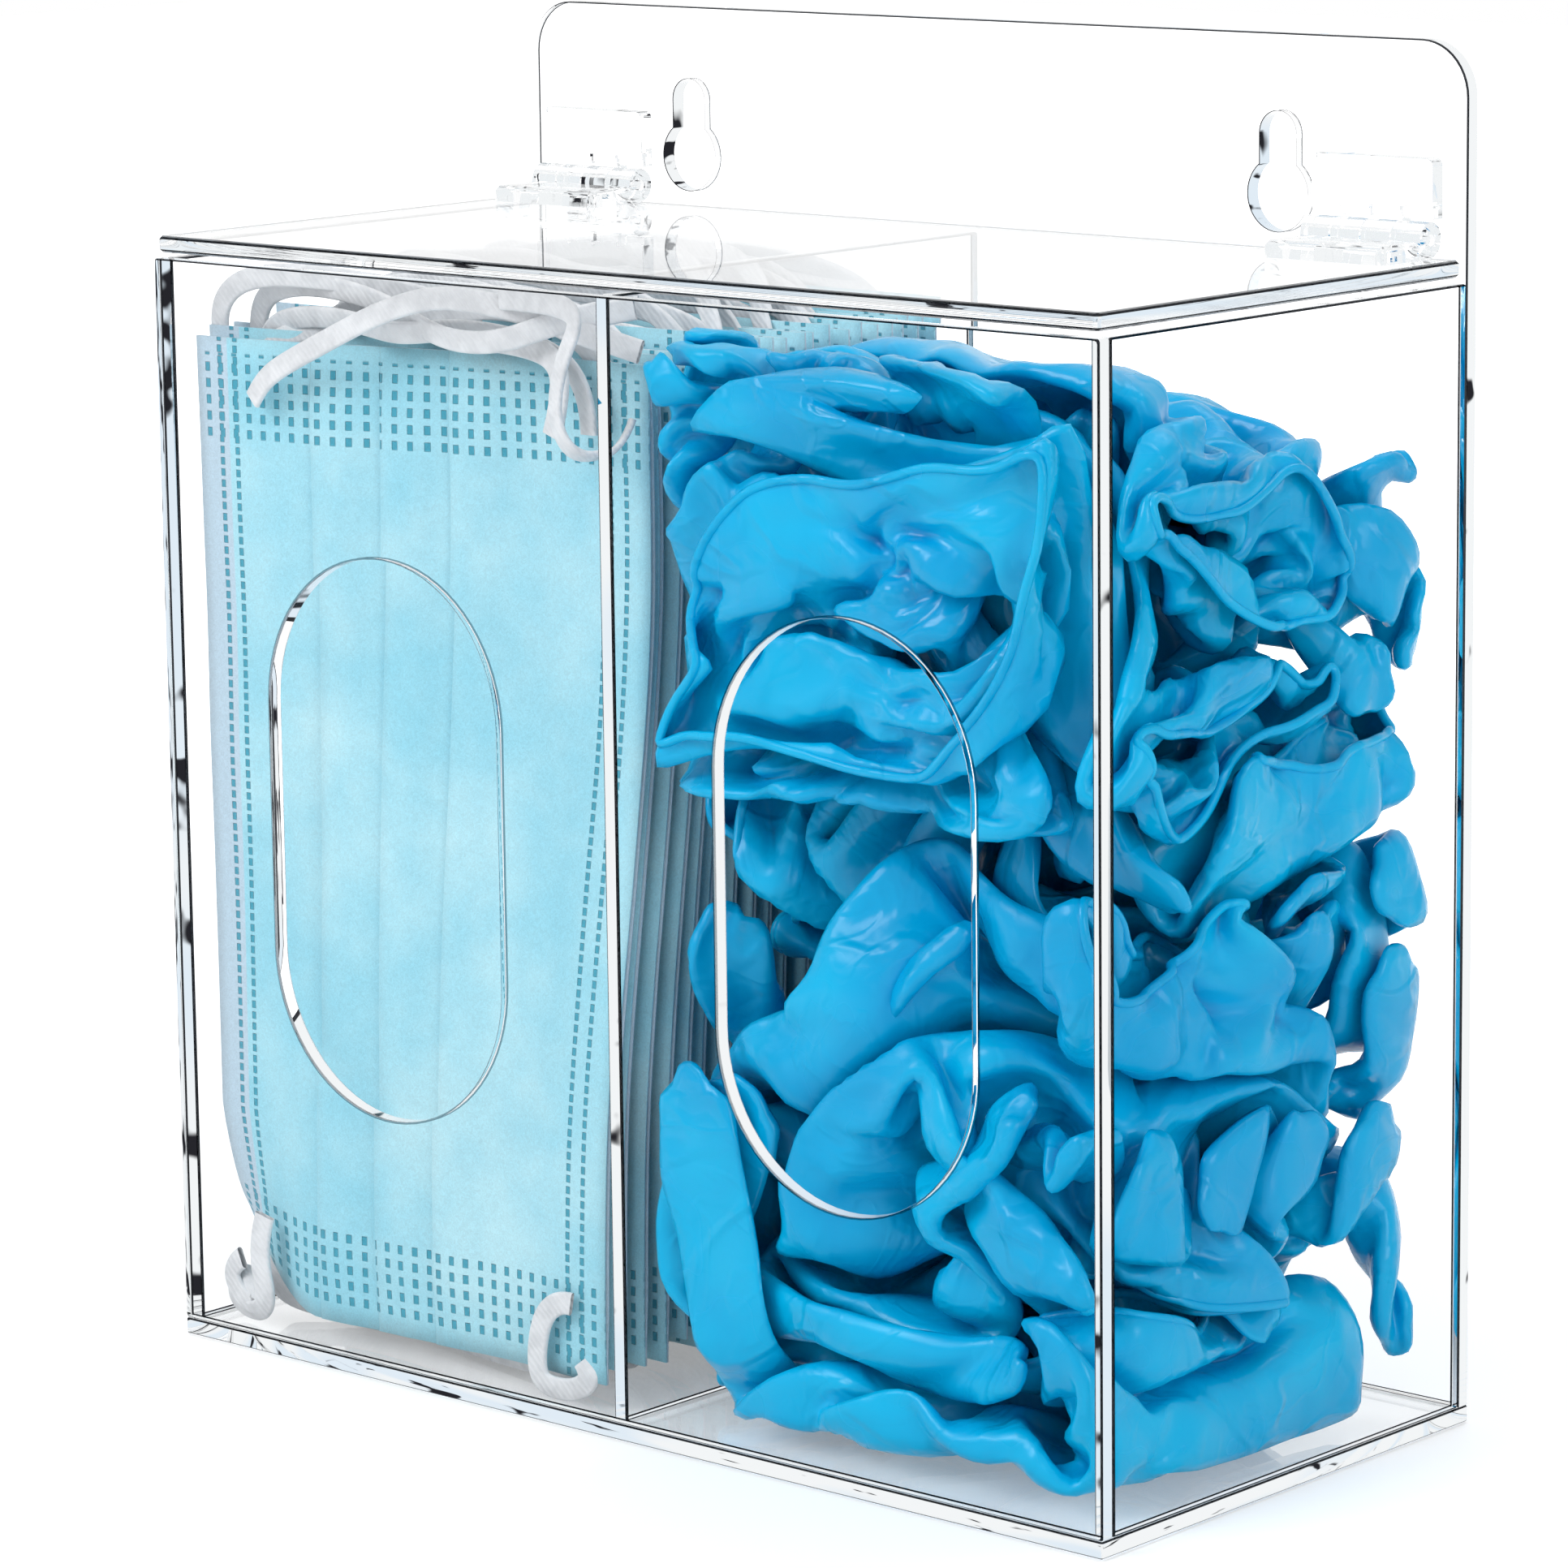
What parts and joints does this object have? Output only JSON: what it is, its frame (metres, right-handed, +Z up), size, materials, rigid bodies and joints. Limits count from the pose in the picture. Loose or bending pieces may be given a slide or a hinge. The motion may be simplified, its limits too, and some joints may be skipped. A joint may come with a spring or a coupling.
{
  "type": "disposable glove dispenser",
  "caption": "Clear acrylic wall dispenser with a hinged lid, upright front slots and a keyhole back panel, loaded with pleated face masks and crumpled disposable gloves.",
  "frame": {"origin": "under the middle of the base plate, on the surface that it stands on", "axes": "+X to the right along the front, +Y to the wall that it hangs on, +Z up"},
  "size_m": [0.213, 0.1006, 0.236],
  "materials": {
    "acrylic": "clear cast sheet, polished edges",
    "hinge_plastic": "clear moulded plastic",
    "mask_fabric": "pale blue nonwoven with white inner ply and elastic loops",
    "glove_nitrile": "thin saturated blue nitrile, satin to glossy"
  },
  "bodies": {
    "box": {"back_panel": "acrylic", "base_plate": "acrylic", "divider": "acrylic", "front_panel": "acrylic", "glove_01": "glove_nitrile", "glove_02": "glove_nitrile", "glove_03": "glove_nitrile", "glove_04": "glove_nitrile", "glove_05": "glove_nitrile", "glove_06": "glove_nitrile", "glove_07": "glove_nitrile", "glove_08": "glove_nitrile", "glove_09": "glove_nitrile", "glove_10": "glove_nitrile", "glove_11": "glove_nitrile", "glove_12": "glove_nitrile", "hinge_left_pin": "hinge_plastic", "hinge_left_wall_leaf": "hinge_plastic", "hinge_right_pin": "hinge_plastic", "hinge_right_wall_leaf": "hinge_plastic", "left_wall": "acrylic", "mask_01": "mask_fabric", "mask_02": "mask_fabric", "mask_03": "mask_fabric", "mask_04": "mask_fabric", "mask_05": "mask_fabric", "mask_06": "mask_fabric", "mask_07": "mask_fabric", "mask_08": "mask_fabric", "mask_09": "mask_fabric", "mask_10": "mask_fabric", "mask_11": "mask_fabric", "mask_12": "mask_fabric", "mask_13": "mask_fabric", "mask_14": "mask_fabric", "mask_15": "mask_fabric", "mask_16": "mask_fabric", "mask_17": "mask_fabric", "mask_18": "mask_fabric", "mask_19": "mask_fabric", "mask_20": "mask_fabric", "right_wall": "acrylic"},
    "lid": {"lid": "acrylic", "hinge_left_lid_leaf": "hinge_plastic", "hinge_right_lid_leaf": "hinge_plastic"}
  },
  "joints": [
    {"name": "lid_hinge", "type": "hinge", "parent": "box", "child": "lid", "pos_m": [0, 0.0441, 0.20315], "axis": [-1, 0, 0], "range_deg": [0, 90]}
  ]
}
